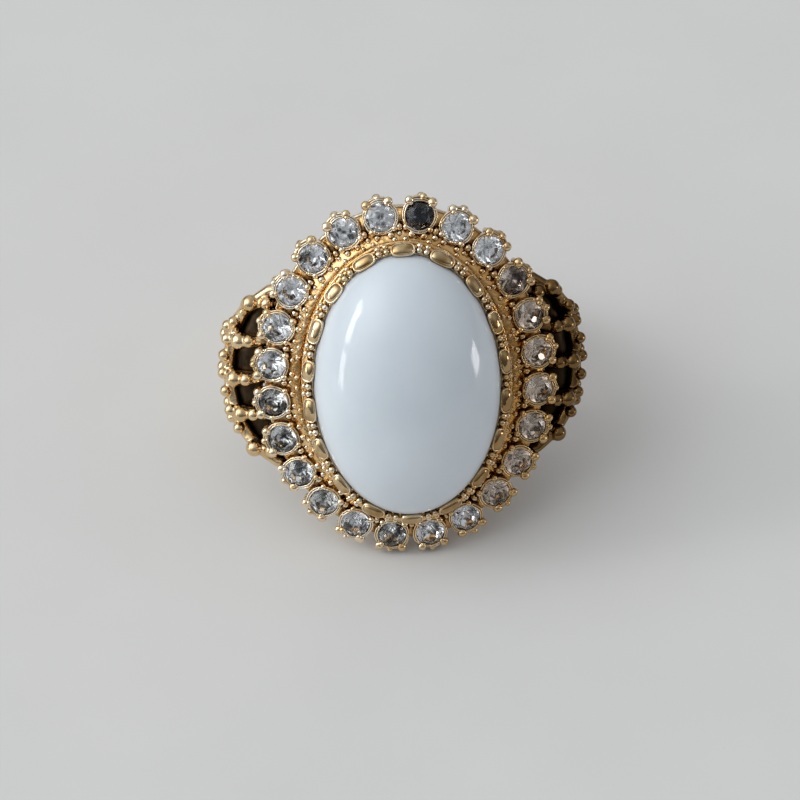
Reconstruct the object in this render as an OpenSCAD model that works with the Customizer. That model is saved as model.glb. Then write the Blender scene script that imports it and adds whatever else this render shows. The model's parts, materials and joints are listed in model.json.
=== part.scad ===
// Cocktail ring: an oval cabochon in a crown bezel, a halo of round stones in collets,
// openwork beaded shoulders and a plain tapered band.
//
// Every piece is first drawn upright about the middle of the finger hole: +Z points out of
// the face of the ring, +Y runs along the finger and +X across it. The whole ring is then
// leaned back to rest on a table, on the lowest foot beads of the halo and the back of the band.

/* [Band] */
// Inside diameter of the band
finger_d = 17.35; // [15.6:0.05:19]
// Radial thickness of the band at its middle
band_t = 1.5; // [1.2:0.05:1.8]
// Width of the band at the back of the finger
band_back_w = 2.6; // [2:0.1:3.4]
// Width of the band where the shoulders grow out of it
band_front_w = 4.4; // [4:0.1:5]
// Radius of the domed outside of the band, across its width
band_dome_r = 3.2; // [2.8:0.1:5]

/* [Cabochon] */
// Width of the cabochon across the finger
cab_w = 12.9; // [12.6:0.1:13.4]
// Length of the cabochon along the finger
cab_l = 18.6; // [18:0.1:18.8]
// Height of the dome above the girdle
cab_dome_h = 4.9; // [3.5:0.1:6]
// Height of the upright edge under the dome
cab_edge_h = 0.9; // [0.6:0.1:1.2]

/* [Crown bezel] */
// Number of dished lobes around the cabochon
lobe_count = 18; // [14:1:19]
// Length of a lobe along the edge of the cabochon
lobe_l = 1.7; // [1.4:0.05:1.8]
// Width of a lobe
lobe_w = 0.95; // [0.8:0.05:1]
// Thickness of a lobe
lobe_t = 0.5; // [0.35:0.05:0.6]
// Lean of a lobe away from the face, in degrees
lobe_lean = 32; // [20:1:40]
// Radius of the small beads between the lobes
grain_r = 0.25; // [0.2:0.01:0.28]

/* [Halo] */
// Number of round stones
stone_count = 24; // [22:1:24]
// Diameter of a stone at its girdle
stone_d = 2; // [1.8:0.05:2.05]
// Width of the oval through the middles of the stones
halo_w = 18.6; // [18.2:0.1:19]
// Length of the oval through the middles of the stones
halo_l = 23.2; // [23:0.1:24]
// Outward slope of the stones, in degrees
halo_slope = 14; // [8:1:18]
// Radius of the outer prong beads
prong_r = 0.38; // [0.3:0.01:0.4]
// Radius of the inner prong beads
inner_prong_r = 0.27; // [0.22:0.01:0.3]
// Angle between an outer prong and the way straight out of the halo, in degrees
prong_spread = 40; // [32:1:42]
// Radius of the foot bead under the outer side of each collet
foot_r = 0.36; // [0.32:0.01:0.4]

/* [Shoulders] */
// Reach of a shoulder from the middle of the ring, without its beads
shoulder_reach = 12.65; // [12:0.1:13]
// Wall of a shoulder
shoulder_t = 1.1; // [0.9:0.1:1.4]
// Width of the neck of a shoulder
shoulder_neck_w = 3.2; // [3:0.1:4]
// Radius of the beads on a shoulder
bead_r = 0.42; // [0.35:0.01:0.45]

/* [Hidden] */
$fn = 72;

// How far a cutting shape runs past what it cuts
past = 1;

// Band
finger_r = finger_d / 2;
band_r = finger_r + band_t;
band_edge_r = band_r - band_dome_r + sqrt(pow(band_dome_r, 2) - pow(band_back_w / 2, 2));
taper_start_z = 4;

// Heights along the face direction, from the middle of the finger hole
frame_rise = 1.1;
frame_z = band_r + frame_rise;
frame_t = 0.9;
stone_rise = 0.45;
stone_z = frame_z + frame_t + stone_rise;
cab_rise = 2.2;
cab_base_z = frame_z + cab_rise;
girdle_z = cab_base_z + cab_edge_h;
cement_t = 0.3;
shelf_t = 0.5;

// Ovals are given by their half width and half length
cab = [cab_w / 2, cab_l / 2];
fit_gap = 0.05;
cup_inner = [cab.x + fit_gap, cab.y + fit_gap];
cup_wall = 0.45;
cup_outer = [cup_inner.x + cup_wall, cup_inner.y + cup_wall];
skirt_wall = 0.6;
cup_skirt = [cup_outer.x - skirt_wall, cup_outer.y - skirt_wall];
shelf_w = 1.2;
shelf_hole = [cab.x - shelf_w, cab.y - shelf_w];
halo = [halo_w / 2, halo_l / 2];
frame_lip = 0.45;
frame_outer = [halo.x + frame_lip, halo.y + frame_lip];
well_inset = 0.9;
well_outer_r = halo.x - well_inset;
wire_w = 0.4;
wire_outer = [cup_outer.x + wire_w, cup_outer.y + wire_w];
wire_h = 0.45;
lobe_offset = 0.05;
lobe_lift = 0.3;
dish_w = 0.5;
dish_l = 0.68;
dish_z = 0.55;
grain_turn = 1.8;

// Stones: a chaton cut with a flat table, a thin girdle and a pointed back
stone_r = stone_d / 2;
stone_sides = 16;
table_r = 0.6 * stone_r;
crown_h = 0.38 * stone_r;
girdle_h = 0.08;
pavilion_h = 0.75 * stone_r;
collet_r = stone_r + 0.2;
collet_h = 1.05;
collet_rim_h = 0.05;
prong_out = collet_r + 0.1;
prong_up = 0.12;
foot_down = 0.6;
seat_gap = 0.01;
light_hole_r = 0.35;

// Shoulders: in side view a long arc rises from the band to the widest height, and a short one
// turns back in under the halo
widest_z = 9;
side_r = 12;
rim_r = 2.45;
fan_angle = 80;
neck_z = 4.1;
flare_r = 7.6;
top_overlap = 0.2;
strut_step = 2.65;
strut_bead_r = 0.45;
strut_bead_tilt = 50;
struts_per_side = 2;
rim_beads_per_side = 4;
rim_bead_step = 1.3;
rim_bead_z = 9.6;
rim_bead_rise = 0.04;
edge_bead_z = [9.2, 8.1, 6.9, 5.7];
spine_bead_z = [7.8, 6.6, 4, 3];
window_tilt = 42;
window_half = [0.85, 0.85];
outer_window_y = 3.8;
outer_window_tilt = 50;
outer_window_half = [0.5, 0.6];
slot = [1.15, 7.9];
slot_half = [0.45, 1];
slot_lean = 8;
neck_hole_z = 5.3;
neck_hole_half = [0.4, 0.75];

// Under gallery
wire_oval = [5.4, 8.2];
gallery_wire_w = 0.8;
wire_middle = [wire_oval.x - gallery_wire_w / 2, wire_oval.y - gallery_wire_w / 2];
post_turns = [50, 70, 90, 110, 130];
gallery_z = band_r - 0.2;
gallery_h = 0.6;
post_r = 0.4;
post_head_inset = 1;
rail_w = 1.2;

// Points spaced evenly along an oval: the parameter angle that stands for the angle u
function even_turn(oval, u) =
    u - (pow(oval.y, 2) - pow(oval.x, 2)) / (pow(oval.y, 2) + pow(oval.x, 2)) / 4 * 180 / PI * sin(2 * u);
function oval_point(oval, u) = [oval.x * cos(even_turn(oval, u)), oval.y * sin(even_turn(oval, u))];
function oval_way_out(oval, u) = atan2(sin(even_turn(oval, u)) / oval.y, cos(even_turn(oval, u)) / oval.x);

// Turn of stone i around the halo; two stones straddle each end of the oval
function stone_turn(i) = (i - 0.5) * 360 / stone_count;
function stone_name(i) = str("rhinestone_", i < 10 ? "0" : "", i);

// Middle of the foot bead of stone i
function foot_point(i) =
    let (
        p = oval_point(halo, stone_turn(i)),
        out = oval_way_out(halo, stone_turn(i)),
        away = prong_out * cos(halo_slope) - foot_down * sin(halo_slope)
    )
    [p.x + away * cos(out), p.y + away * sin(out),
     stone_z - prong_out * sin(halo_slope) - foot_down * cos(halo_slope)];

// The lean that puts the lowest foot beads and the back edge of the band on one floor
feet = [for (i = [1:stone_count]) foot_point(i)];
halo_foot_y = min([for (p = feet) p.y]);
halo_foot_z = feet[0].z;
foot_rise = -halo_foot_y - band_back_w / 2;
foot_run = halo_foot_z + band_edge_r;
lean = atan2(foot_rise, foot_run) + asin(foot_r / norm([foot_run, foot_rise]));
floor_drop = foot_r - halo_foot_y * cos(lean) - halo_foot_z * sin(lean);

// The shift that centres the leaning ring over the origin, between its dome and its band
front_reach = girdle_z * cos(lean) + norm([cab.y * sin(lean), cab_dome_h * cos(lean)]);
back_reach = band_edge_r * cos(lean) + band_back_w / 2 * sin(lean);
depth_shift = (front_reach - back_reach) / 2;

module posed() {
    translate([0, depth_shift, floor_drop])
        rotate([90 - lean, 0, 0])
            children();
}

// An upright oval block from height z, with half width and half length given by oval
module oval_block(oval, z, h) {
    translate([0, 0, z])
        scale([oval.x, oval.y, 1])
            cylinder(r = 1, h = h);
}

module oval_tube(outer, inner, z, h) {
    difference() {
        oval_block(outer, z, h);
        oval_block(inner, z - past, h + 2 * past);
    }
}

// Puts its children on an oval at turn u, with +X straight out
module on_oval(oval, u, z) {
    p = oval_point(oval, u);
    translate([p.x, p.y, z])
        rotate(oval_way_out(oval, u))
            children();
}

// Puts its children on stone seat i, sloped outward with the halo
module on_seat(i) {
    on_oval(halo, stone_turn(i), stone_z)
        rotate([0, halo_slope, 0])
            children();
}

module shank() {
    taper = atan2((band_front_w - band_back_w) / 2, taper_start_z + band_r);
    color("gold")
        posed()
            difference() {
                rotate([90, 0, 0])
                    rotate_extrude()
                        intersection() {
                            translate([finger_r, -band_front_w / 2])
                                square([band_t, band_front_w]);
                            translate([band_r - band_dome_r, 0])
                                circle(r = band_dome_r);
                        }
                for (s = [-1, 1])
                    translate([0, s * band_front_w / 2, taper_start_z])
                        rotate([-s * taper, 0, 0])
                            translate([0, s * band_r, -band_r])
                                cube([3 * band_r, 2 * band_r, 4 * band_r], center = true);
            }
}

// Distance of the outside of a shoulder from the face axis, at height z
function shoulder_rho(z) =
    let (r = z < widest_z ? side_r : rim_r)
    shoulder_reach - r + sqrt(pow(r, 2) - pow(z - widest_z, 2));
// Half width of a shoulder at height z
function shoulder_half(z) =
    shoulder_neck_w / 2 + flare_r - sqrt(pow(flare_r, 2) - pow(max(z - neck_z, 0), 2));

module shoulder_bead(y, z, r) {
    rho = shoulder_rho(z);
    translate([sqrt(pow(rho, 2) - pow(y, 2)), y, z])
        sphere(r = r);
}

// The wall between an arc of radius r, widest at the shoulder's reach, and its inner side
module arc_wall(r) {
    translate([shoulder_reach - r, widest_z])
        difference() {
            circle(r = r);
            circle(r = r - shoulder_t);
        }
}

// Side view of a shoulder, in distance from the face axis and height
module shoulder_outline() {
    intersection() {
        arc_wall(side_r);
        translate([finger_r - past, 0])
            square([side_r, widest_z]);
    }
    intersection() {
        arc_wall(rim_r);
        translate([frame_outer.x - 2 * top_overlap, widest_z])
            square([side_r, frame_z - widest_z]);
    }
}

// The curved fan of one shoulder, before its openings are cut
module shoulder_fan() {
    difference() {
        rotate([0, 0, -fan_angle / 2])
            rotate_extrude(angle = fan_angle)
                shoulder_outline();
        rotate([90, 0, 0])
            cylinder(r = band_r, h = 3 * band_r, center = true);
        for (s = [-1, 1]) {
            translate([finger_r, s * (shoulder_neck_w / 2 + flare_r), neck_z])
                rotate([0, 90, 0])
                    cylinder(r = flare_r, h = side_r, center = true);
            translate([finger_r, s * (shoulder_neck_w / 2 + flare_r), neck_z - flare_r])
                cube([side_r, 2 * flare_r, 2 * flare_r], center = true);
        }
    }
}

// A window between two struts, through the arc under the halo
module fan_window(y, tilt, half) {
    rotate(asin(y / shoulder_reach))
        translate([shoulder_reach - rim_r, 0, widest_z])
            rotate([0, 90 - tilt, 0])
                scale([half.y, half.x, 1])
                    cylinder(r = 1, h = 2 * rim_r);
}

// An upright slot through the side of the fan, leaning with its edge
module side_slot(y, z, half, tilt) {
    translate([finger_r, y, z])
        rotate([-tilt, 0, 0])
            rotate([0, 90, 0])
                scale([half.y, half.x, 1])
                    cylinder(r = 1, h = side_r);
}

module shoulder() {
    difference() {
        shoulder_fan();
        for (s = [-1, 1]) {
            fan_window(s * strut_step / 2, window_tilt, window_half);
            fan_window(s * outer_window_y, outer_window_tilt, outer_window_half);
            side_slot(s * slot.x, slot.y, slot_half, s * slot_lean);
        }
        side_slot(0, neck_hole_z, neck_hole_half, 0);
    }
    for (k = [-rim_beads_per_side:rim_beads_per_side])
        shoulder_bead(k * rim_bead_step, rim_bead_z + rim_bead_rise * pow(k * rim_bead_step, 2), bead_r);
    for (k = [-struts_per_side:struts_per_side])
        shoulder_bead(k * strut_step, widest_z + rim_r * sin(strut_bead_tilt), strut_bead_r);
    for (z = edge_bead_z, s = [-1, 1])
        shoulder_bead(s * (shoulder_half(z) - bead_r / 2), z, bead_r);
    for (z = spine_bead_z)
        shoulder_bead(0, z, bead_r);
}

module shoulder_right() {
    color("goldenrod")
        posed()
            shoulder();
}

module shoulder_left() {
    color("goldenrod")
        posed()
            rotate(180)
                shoulder();
}

// A tapered open basket: a lower oval wire on a rail over the band, with posts up to the halo
module under_gallery() {
    color("darkgoldenrod")
        posed()
            difference() {
                union() {
                    oval_tube(wire_oval, 2 * wire_middle - wire_oval, gallery_z, gallery_h);
                    translate([-rail_w / 2, -wire_middle.y, gallery_z])
                        cube([rail_w, 2 * wire_middle.y, gallery_h]);
                    for (s = [-1, 1], u = post_turns)
                        gallery_post(s * u);
                }
                rotate([90, 0, 0])
                    cylinder(r = band_r, h = 2 * band_front_w, center = true);
                translate([0, 0, frame_z + frame_t / 2])
                    cube([3 * halo.x, 3 * halo.y, frame_t], center = true);
            }
}

module gallery_post(u) {
    foot = oval_point(wire_middle, u);
    head = oval_point([halo.x - post_head_inset, halo.y - post_head_inset], u);
    way = [head.x - foot.x, head.y - foot.y, frame_z - gallery_z];
    translate([foot.x, foot.y, gallery_z + post_r / 2])
        rotate([0, acos(way.z / norm(way)), atan2(way.y, way.x)])
            cylinder(r = post_r, h = norm(way));
}

// The space that a stone takes, with the way in from above and a light hole below
module stone_seat() {
    rotate_extrude()
        polygon([
            [0, -2 * collet_h], [light_hole_r, -2 * collet_h], [light_hole_r, -pavilion_h],
            [stone_r + seat_gap, 0], [stone_r + seat_gap, girdle_h],
            [table_r + seat_gap, girdle_h + crown_h], [table_r + seat_gap, past], [0, past]
        ]);
}

module halo_frame() {
    color("gold")
        posed()
            difference() {
                union() {
                    oval_block(frame_outer, frame_z, frame_t);
                    translate([0, 0, frame_z + frame_t])
                        scale([1, halo.y / halo.x, 1])
                            cylinder(r1 = well_outer_r, r2 = cup_outer.x, h = cab_edge_h);
                    for (i = [1:stone_count])
                        on_seat(i)
                            collet();
                }
                oval_block(cup_outer, frame_z - past, frame_t + cab_edge_h + 3 * past);
                for (i = [1:stone_count])
                    on_seat(i)
                        stone_seat();
            }
}

// A short round tube with a foot bead, and two outer and two inner prong beads on its rim
module collet() {
    translate([0, 0, -collet_h])
        cylinder(r = collet_r, h = collet_h + collet_rim_h);
    translate([prong_out, 0, -foot_down])
        sphere(r = foot_r);
    for (s = [-1, 1]) {
        rotate(s * prong_spread)
            translate([prong_out, 0, prong_up])
                sphere(r = prong_r);
        rotate(180 + s * prong_spread)
            translate([collet_r, 0, prong_up])
                sphere(r = inner_prong_r);
    }
}

module bezel_cup() {
    color("gold")
        posed()
            difference() {
                oval_block(cup_outer, frame_z, girdle_z - frame_z);
                oval_block(cup_skirt, frame_z - past, cab_rise - cement_t - shelf_t + past);
                oval_block(shelf_hole, frame_z, girdle_z);
                oval_block(cup_inner, cab_base_z - cement_t, girdle_z);
            }
}

// The glue that beds the cabochon on the shelf of its cup
module cement_bed() {
    color("ivory")
        posed()
            oval_tube(cab, shelf_hole, cab_base_z - cement_t, cement_t);
}

module cabochon() {
    color("white")
        posed() {
            oval_block(cab, cab_base_z, cab_edge_h);
            intersection() {
                translate([0, 0, girdle_z])
                    scale([cab.x, cab.y, cab_dome_h])
                        sphere(r = 1);
                translate([0, 0, girdle_z + cab_l / 2])
                    cube(cab_l, center = true);
            }
        }
}

// A wire around the cup, with dished lobes and pairs of beads beside the edge of the cabochon
module crown_bezel() {
    lobe_oval = [cup_outer.x + lobe_offset, cup_outer.y + lobe_offset];
    color("gold")
        posed() {
            oval_tube(wire_outer, cup_outer, girdle_z - wire_h, wire_h);
            oval_tube(wire_outer, cup_inner, girdle_z, fit_gap);
            for (i = [1:lobe_count])
                crown_unit(lobe_oval, (i - 0.5) * 360 / lobe_count, 180 / lobe_count);
        }
}

// One lobe at turn u and the pair of beads that follows it
module crown_unit(oval, u, half_step) {
    on_oval(oval, u, girdle_z + lobe_lift)
        rotate([0, lobe_lean, 0])
            difference() {
                scale([lobe_w, lobe_l, 2 * lobe_t])
                    cylinder(d = 1, h = 1, center = true);
                translate([0, 0, lobe_t * dish_z])
                    scale([lobe_w * dish_w, lobe_l * dish_l, 1])
                        cylinder(d = 1, h = 1);
            }
    for (s = [-1, 1])
        on_oval(oval, u + half_step + s * grain_turn, girdle_z + grain_r)
            sphere(r = grain_r);
}

// A round of flat facets: crown around the table, thin girdle, and pavilion down to the point
module rhinestone(i) {
    turns = [for (k = [0:stone_sides - 1]) k * 360 / stone_sides];
    rings = [[table_r, girdle_h + crown_h], [stone_r, girdle_h], [stone_r, 0]];
    points = concat(
        [for (ring = rings, k = turns) [ring.x * cos(k), ring.x * sin(k), ring.y]],
        [[0, 0, -pavilion_h]]
    );
    n = stone_sides;
    table = [for (k = [0:n - 1]) n - 1 - k];
    sides = [
        for (low = [n, 2 * n], k = [0:n - 1])
            [low - n + k, low - n + (k + 1) % n, low + (k + 1) % n, low + k]
    ];
    back = [for (k = [0:n - 1]) [2 * n + k, 2 * n + (k + 1) % n, 3 * n]];
    color("lightcyan")
        posed()
            on_seat(i)
                polyhedron(points, concat([table], sides, back));
}

shank();
shoulder_left();
shoulder_right();
under_gallery();
halo_frame();
bezel_cup();
crown_bezel();
cement_bed();
cabochon();
for (i = [1:stone_count]) rhinestone(i);
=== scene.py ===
"""Looks for the cocktail ring: cast gold plate, a milk glass cabochon and foil-backed rhinestones.

Pieces are shaped in the upright ring's own millimetres: the middle of the finger hole is the origin,
+Z points out of the face, +Y runs along the finger and +X across it. The finger_hole mount of the
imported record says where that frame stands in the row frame.
"""

import json
import math
import random

import bpy
import numpy as np
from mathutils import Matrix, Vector


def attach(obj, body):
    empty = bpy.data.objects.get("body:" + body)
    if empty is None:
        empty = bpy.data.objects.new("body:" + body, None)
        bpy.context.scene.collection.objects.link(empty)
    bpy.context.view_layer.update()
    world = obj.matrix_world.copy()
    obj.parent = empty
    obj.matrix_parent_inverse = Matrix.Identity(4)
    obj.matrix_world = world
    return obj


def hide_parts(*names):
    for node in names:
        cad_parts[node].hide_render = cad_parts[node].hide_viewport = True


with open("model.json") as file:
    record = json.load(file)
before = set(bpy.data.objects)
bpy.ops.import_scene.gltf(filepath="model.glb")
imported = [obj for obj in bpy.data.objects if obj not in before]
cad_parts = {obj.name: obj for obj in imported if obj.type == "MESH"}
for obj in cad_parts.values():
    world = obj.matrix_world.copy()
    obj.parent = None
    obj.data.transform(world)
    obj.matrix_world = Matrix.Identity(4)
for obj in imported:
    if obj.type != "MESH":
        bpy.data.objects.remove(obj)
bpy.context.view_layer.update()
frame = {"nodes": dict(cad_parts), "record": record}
dice = random.Random(7)

MM = 0.001

# ---------------------------------------------------------------- sizes, in millimetres and degrees
#
# How the names end: R is a radius, W a width, H a height, T a thickness, and Z a height above the
# middle of the finger hole. An oval is given by its two half axes.

# the band; the frame says how wide and how large it is at the finger
mount = frame["record"]["mounts"][0]
FINGER_R = mount["dims"]["r_mm"]
BAND_W = mount["dims"]["length_mm"]
BAND_T = 1.5
BAND_R = FINGER_R + BAND_T
BAND_BACK_W = 2.6
BAND_DOME_R = 3.2
BAND_SOFT = 0.12
TAPER_START_Z = 4.0

# the head, from the halo's plate up to the cabochon's girdle
FRAME_RISE = 1.1
FRAME_Z = BAND_R + FRAME_RISE
FRAME_T = 0.9
STONE_RISE = 0.45
STONE_Z = FRAME_Z + FRAME_T + STONE_RISE
CAB_RISE = 2.2
CAB_BASE_Z = FRAME_Z + CAB_RISE
CAB_EDGE_H = 0.9
GIRDLE_Z = CAB_BASE_Z + CAB_EDGE_H
CAB_DOME_H = 4.9

# the ovals: the cabochon, the outside of its cup, the line through the stones, the gallery's wire
CAB = (6.45, 9.3)
CUP_OUTER = (6.95, 9.8)
HALO = (9.3, 11.6)
GALLERY = (5.0, 7.8)

# the halo
STONES = 24
STONE_R = 1.0
STONE_FIT = 0.985
HALO_SLOPE = 14
COLLET_R = 1.2
COLLET_H = 1.15
PRONG_SPREAD = 40
PRONG_R = 0.24
PRONG_HEAD_R = 0.35
FOOT_DOWN = 0.6
DARK_STONE = 6  # the one near the top whose foil has gone dark

# the slope of the well, for each point: out from the halo's line and up from its plate
WELL_SLOPE = [(-0.5, 0.0), (-0.5, 0.72), (-0.7, 1.0), (-0.95, 1.28), (-1.2, 1.46), (-1.6, 1.64)]
WELL_TOP = 1.92
# the well is narrower at the oval's ends, so there the grains' insets shrink to this share
WELL_END_SHARE = 0.93
# the grains in the well beside each web: in from the halo's line, degrees along it, up from the
# stones, and the radius
WELL_GRAINS = [
    (0.88, 0, 0.02, 0.28), (1.40, 4.6, 0.18, 0.25), (1.40, -4.6, 0.18, 0.25),
    (1.36, 0, 0.10, 0.22), (1.74, 2.6, 0.34, 0.19), (1.74, -2.6, 0.34, 0.19),
]

# the crown's lobes, and the outline of a lobe's dome: share of the lobe's width, and height
LOBES = 18
LOBE_LENGTH = 1.6
LOBE_W = 0.87
LOBE_TILT = 36
LOBE_RISE = 0.36
LOBE_LINE_IN = 0.14
LOBE_RIM_R = 0.078
LOBE_DOME = [(1.0, -0.3), (1.0, 0.02), (0.95, 0.13), (0.84, 0.22), (0.64, 0.29), (0.38, 0.33), (0.1, 0.34)]

# the shoulders: their side view is a long arc up to the widest height and a short one in from there
SHOULDER_REACH = 12.65
SHOULDER_T = 1.1
WIDEST_Z = 9.0
SIDE_R = 12.0
TURN_R = 2.45
RIM_Z = 9.6
RIM_SAG = 0.04  # the rim's height at y is RIM_Z + RIM_SAG * y * y
NECK_HALF = 1.6
NECK_Z = 4.1
FLARE_R = 7.6
FAN_HALF = 6.3

# the shoulders' wires and beads
STRUT_STEP = 2.65
STRUT_TURN = 106
STRUT_R = 0.46
EDGE_R = 0.42
EDGE_IN = 0.36
BRANCH_R = 0.27
RIM_BEAD_STEP = 1.3
RIM_BEAD_R = 0.45
SPOKE_BEADS = [(48, 0.62), (72, 0.5)]  # degrees turned in from the widest height, radius
EDGE_BEAD_ZS = (9.2, 8.1, 6.9, 5.7, 4.6)
EDGE_BEAD_R = 0.41
MIDDLE_BEADS = [(7.8, 0.44), (6.6, 0.42), (5.4, 0.40), (4.2, 0.38), (3.0, 0.34)]  # height, radius


# ---------------------------------------------------------------- places and turns

def ring_frame():
    """The 4x4 matrix that takes the upright ring's millimetres to the row frame's metres."""
    along = np.array(mount["axis"], float)
    along /= np.linalg.norm(along)
    across = np.array([1.0, 0.0, 0.0])
    out = np.cross(across, along)
    m = np.eye(4)
    m[:3, 0], m[:3, 1], m[:3, 2] = across * MM, along * MM, out * MM
    m[:3, 3] = mount["pos_m"]
    return m


RING = ring_frame()


def moved(m, x, y, z):
    """The point x, y, z of a 4x4 frame, in the frame around it."""
    return (m @ np.array([x, y, z, 1]))[:3]


def shift(x, y, z):
    m = np.eye(4)
    m[:3, 3] = x, y, z
    return m


def turn(axis, degrees):
    """A right-handed turn about X, Y or Z."""
    c, s = math.cos(math.radians(degrees)), math.sin(math.radians(degrees))
    i, j = {"X": (1, 2), "Y": (2, 0), "Z": (0, 1)}[axis]
    m = np.eye(4)
    m[i, i], m[i, j], m[j, i], m[j, j] = c, -s, s, c
    return m


def vary(value, low, high):
    """A value as a hand would set it: off by something from low to high."""
    return value + dice.uniform(low, high)


def grown(oval, by):
    return oval[0] + by, oval[1] + by


def even_turn(oval, u):
    """The parameter angle, in degrees, that spaces points evenly along an oval."""
    a2, b2 = oval[0] ** 2, oval[1] ** 2
    return u - math.degrees((b2 - a2) / (b2 + a2) / 4 * math.sin(math.radians(2 * u)))


def on_oval(oval, u, z):
    """The frame at turn u of an oval: +X straight out, +Y along the oval, +Z out of the face."""
    t = math.radians(even_turn(oval, u))
    out = math.degrees(math.atan2(math.sin(t) / oval[1], math.cos(t) / oval[0]))
    return shift(oval[0] * math.cos(t), oval[1] * math.sin(t), z) @ turn("Z", out)


def oval_path(oval, z, steps):
    """Points all the way around an oval."""
    return [on_oval(oval, u, z)[:3, 3] for u in np.linspace(0, 360, steps, endpoint=False)]


def seat_turn(i):
    """The turn, in degrees, of stone seat i along the halo. The seats are counted from the right side."""
    return (i - 0.5) * 360 / STONES


def on_seat(i):
    """The frame of stone seat i, sloped outward with the halo."""
    return on_oval(HALO, seat_turn(i), STONE_Z) @ turn("Y", HALO_SLOPE)


# ---------------------------------------------------------------- shapes

class Shape:
    """Collects closed shells in the upright ring's millimetres, and makes one piece of them."""

    def __init__(self):
        self.points, self.faces, self.slots = [], [], []
        self.count = 0

    def add(self, points, faces, at=None, slot=0):
        points = np.asarray(points, float)
        if at is not None:
            points = points @ at[:3, :3].T + at[:3, 3]
        self.points.append(points)
        self.faces += [tuple(v + self.count for v in f) for f in faces]
        self.slots += [slot] * len(faces)
        self.count += len(points)

    def grid(self, rows, wrap_rows=False, caps=False, peak=None, at=None, slot=0):
        """Skins rows of points, each a closed loop.

        wrap_rows joins the last row to the first, caps closes both ends flat, and peak closes the
        first row flat and the last one with a fan to a point.
        """
        rows = np.asarray(rows, float)
        n, m = rows.shape[:2]
        points, faces = rows.reshape(-1, 3), []
        for r in range(n if wrap_rows else n - 1):
            q = (r + 1) % n
            for k in range(m):
                j = (k + 1) % m
                faces.append((r * m + k, r * m + j, q * m + j, q * m + k))
        last = (n - 1) * m
        if caps or peak is not None:
            faces.append(tuple(reversed(range(m))))
        if caps:
            faces.append(tuple(range(last, n * m)))
        if peak is not None:
            points = np.vstack([points, [peak]])
            faces += [(last + k, last + (k + 1) % m, n * m) for k in range(m)]
        self.add(points, faces, at, slot)

    def collar(self, profile, inner_r, swell, at=None, slot=0):
        """Turns a closed (radius, height) outline, listed counterclockwise, about Z.

        Past inner_r it gets uneven by up to about twice swell.
        """
        sides, fade = 48, 0.15
        rows = []
        for k in range(sides):
            a = 2 * math.pi * k / sides
            lump = swell * (math.sin(3 * a + self.count) + math.sin(5 * a + 2 * self.count))
            row = []
            for r, z in profile:
                bulge = lump * min(max((r - inner_r) / fade, 0), 1)
                row.append(((r + bulge) * math.cos(a), (r + bulge) * math.sin(a), z + bulge))
            rows.append(row)
        self.grid(rows, wrap_rows=True, at=at, slot=slot)

    def ball(self, centre, radius, at=None, sides=14, squash=1.0):
        rings = sides // 2
        points = [(0, 0, squash)]
        for r in range(1, rings):
            b = math.pi * r / rings
            for k in range(sides):
                a = 2 * math.pi * k / sides
                points.append((math.sin(b) * math.cos(a), math.sin(b) * math.sin(a), math.cos(b) * squash))
        points.append((0, 0, -squash))
        faces = [(0, 1 + k, 1 + (k + 1) % sides) for k in range(sides)]
        for r in range(rings - 2):
            for k in range(sides):
                a, b = 1 + r * sides + k, 1 + r * sides + (k + 1) % sides
                faces.append((a, a + sides, b + sides, b))
        last, low = len(points) - 1, 1 + (rings - 2) * sides
        faces += [(last, low + (k + 1) % sides, low + k) for k in range(sides)]
        self.add(np.array(points) * radius + np.array(centre), faces, at)

    def tube(self, path, radius, closed=False, sides=12, flat=1.0, up=None, at=None, slot=0):
        """Sweeps a round wire along a path. flat scales its thickness along up; both radius and up may
        be given for each point of the path."""
        path = np.asarray(path, float)
        n = len(path)
        radii = np.broadcast_to(np.asarray(radius, float), (n,))
        if closed:
            ahead = np.roll(path, -1, 0) - np.roll(path, 1, 0)
        else:
            ahead = np.gradient(path, axis=0)
        ahead /= np.linalg.norm(ahead, axis=1, keepdims=True)
        rows = []
        side = None
        for k in range(n):
            if up is not None:
                top = np.asarray(up[k] if np.ndim(up) == 2 else up, float)
                top = top - ahead[k] * (top @ ahead[k])
            elif side is None:
                guess = np.eye(3)[int(np.argmin(np.abs(ahead[k])))]
                top = guess - ahead[k] * (guess @ ahead[k])
            else:
                top = np.cross(side, ahead[k])
            top /= np.linalg.norm(top)
            side = np.cross(ahead[k], top)
            ring = []
            for s in range(sides):
                a = 2 * math.pi * s / sides
                ring.append(path[k] + radii[k] * (math.cos(a) * side + math.sin(a) * flat * top))
            rows.append(ring)
        self.grid(rows, wrap_rows=closed, caps=not closed, at=at, slot=slot)

    def oval_ring(self, oval, profile, slot=0):
        """Runs a closed (offset outward, height) outline, listed counterclockwise, around an oval."""
        rows = []
        for u in np.linspace(0, 360, 192, endpoint=False):
            at = on_oval(oval, u, 0)
            rows.append([moved(at, out, 0, z) for out, z in profile])
        self.grid(rows, wrap_rows=True, slot=slot)

    def piece(self, name, materials, smooth=True, sharp=None):
        """Makes the Blender object in the row frame. Edges past sharp degrees stay sharp."""
        points = np.vstack(self.points)
        points = points @ RING[:3, :3].T + RING[:3, 3]
        mesh = bpy.data.meshes.new(name)
        mesh.from_pydata(points.tolist(), [], self.faces)
        for material in materials:
            mesh.materials.append(material)
        mesh.polygons.foreach_set("material_index", self.slots)
        mesh.polygons.foreach_set("use_smooth", [smooth] * len(mesh.polygons))
        mesh.update()
        if sharp is not None:
            mesh.set_sharp_from_angle(angle=math.radians(sharp))
        piece = bpy.data.objects.new(name, mesh)
        bpy.context.scene.collection.objects.link(piece)
        return piece


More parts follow.
